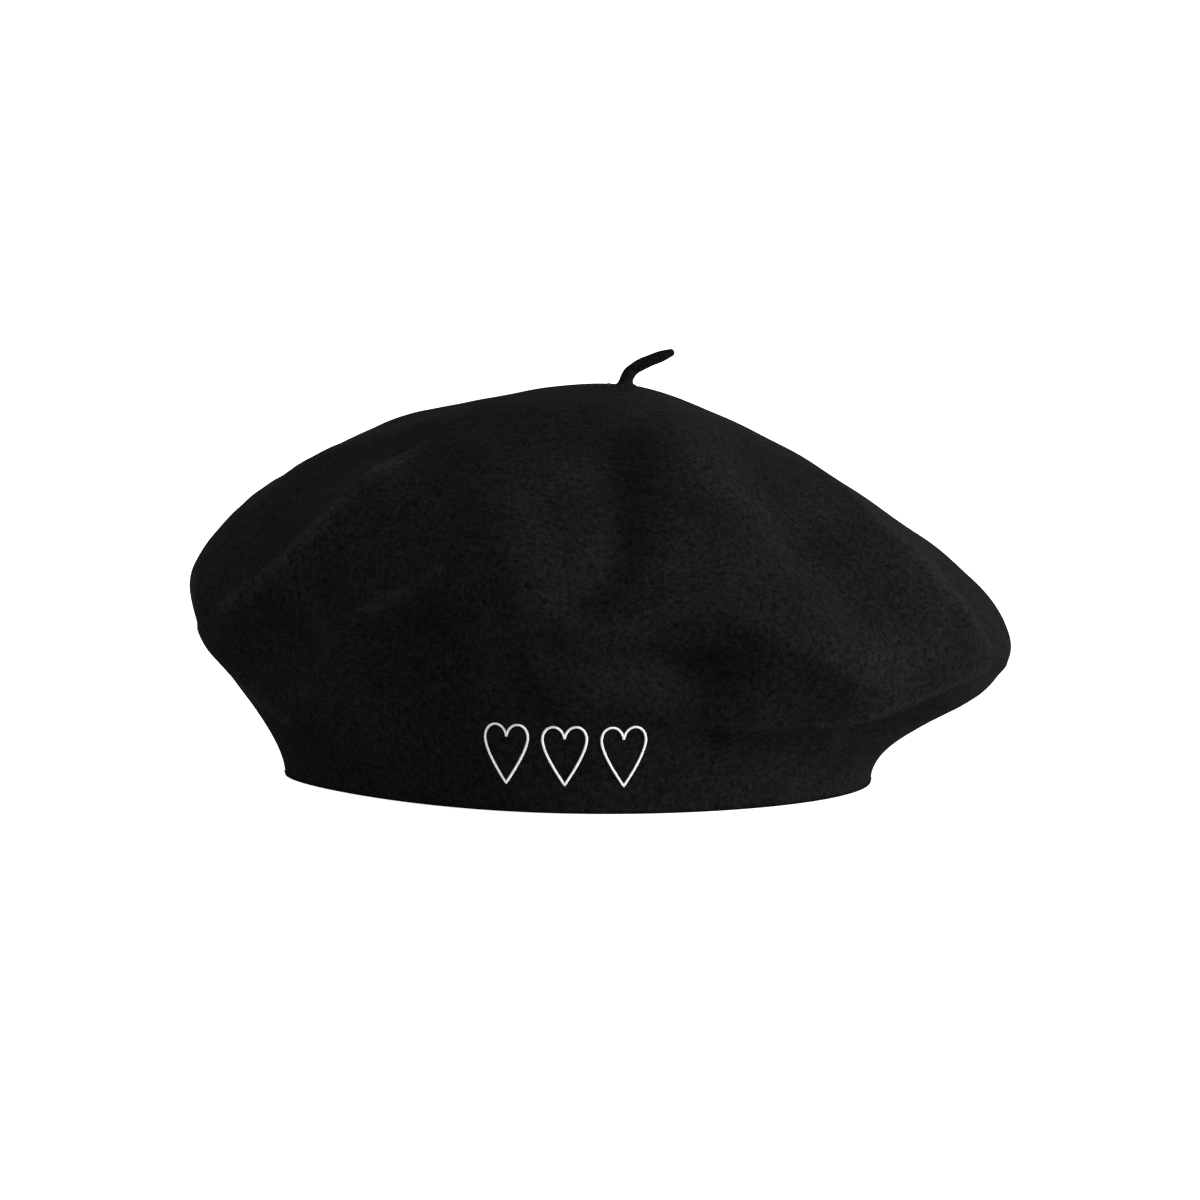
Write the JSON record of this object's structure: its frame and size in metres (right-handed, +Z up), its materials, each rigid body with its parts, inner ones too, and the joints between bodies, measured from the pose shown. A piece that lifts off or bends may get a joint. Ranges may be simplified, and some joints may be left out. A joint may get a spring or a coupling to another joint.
{
  "type": "beret",
  "caption": "Soft one-piece wool felt beret with a drooping crown, short felt tail, ribbon sweatband and small outline hearts embroidered on the front.",
  "frame": {"origin": "centre of the head opening, on the plane that the hem rests on", "axes": "+Z up, away from the head; -Y the front, where the hearts are; +X the side to which the crown droops"},
  "size_m": [0.2653, 0.2396, 0.1403],
  "materials": {
    "wool_felt": "near-black fulled wool felt with a short brushed nap",
    "grosgrain_ribbon": "black ribbed ribbon",
    "black_thread": "black sewing thread",
    "white_thread": "white embroidery thread",
    "stabiliser": "thin soft non-woven backing",
    "label_cloth": "plain woven label tape with nothing printed on it"
  },
  "bodies": {
    "hat": {"felt_body": "wool_felt", "tail_stitches": "black_thread", "tail_knot": "black_thread", "sweatband": "grosgrain_ribbon", "band_join": "grosgrain_ribbon", "band_stitches": "black_thread", "heart_left": "white_thread", "heart_middle": "white_thread", "heart_right": "white_thread", "embroidery_backing": "stabiliser", "label_stitches": "black_thread"},
    "tail": {"felt_tail": "wool_felt"},
    "label": {"care_label": "label_cloth"}
  },
  "joints": [
    {"name": "tail_flex", "type": "hinge", "parent": "hat", "child": "tail", "pos_m": [0.014, 0.005, 0.1297], "axis": [0, 1, 0], "range_deg": [-60, 25], "stiffness_Nm_per_rad": 0.002},
    {"name": "label_flip", "type": "hinge", "parent": "hat", "child": "label", "pos_m": [0, 0.09117, 0.0277], "axis": [1, 0, 0], "range_deg": [0, 150]}
  ]
}
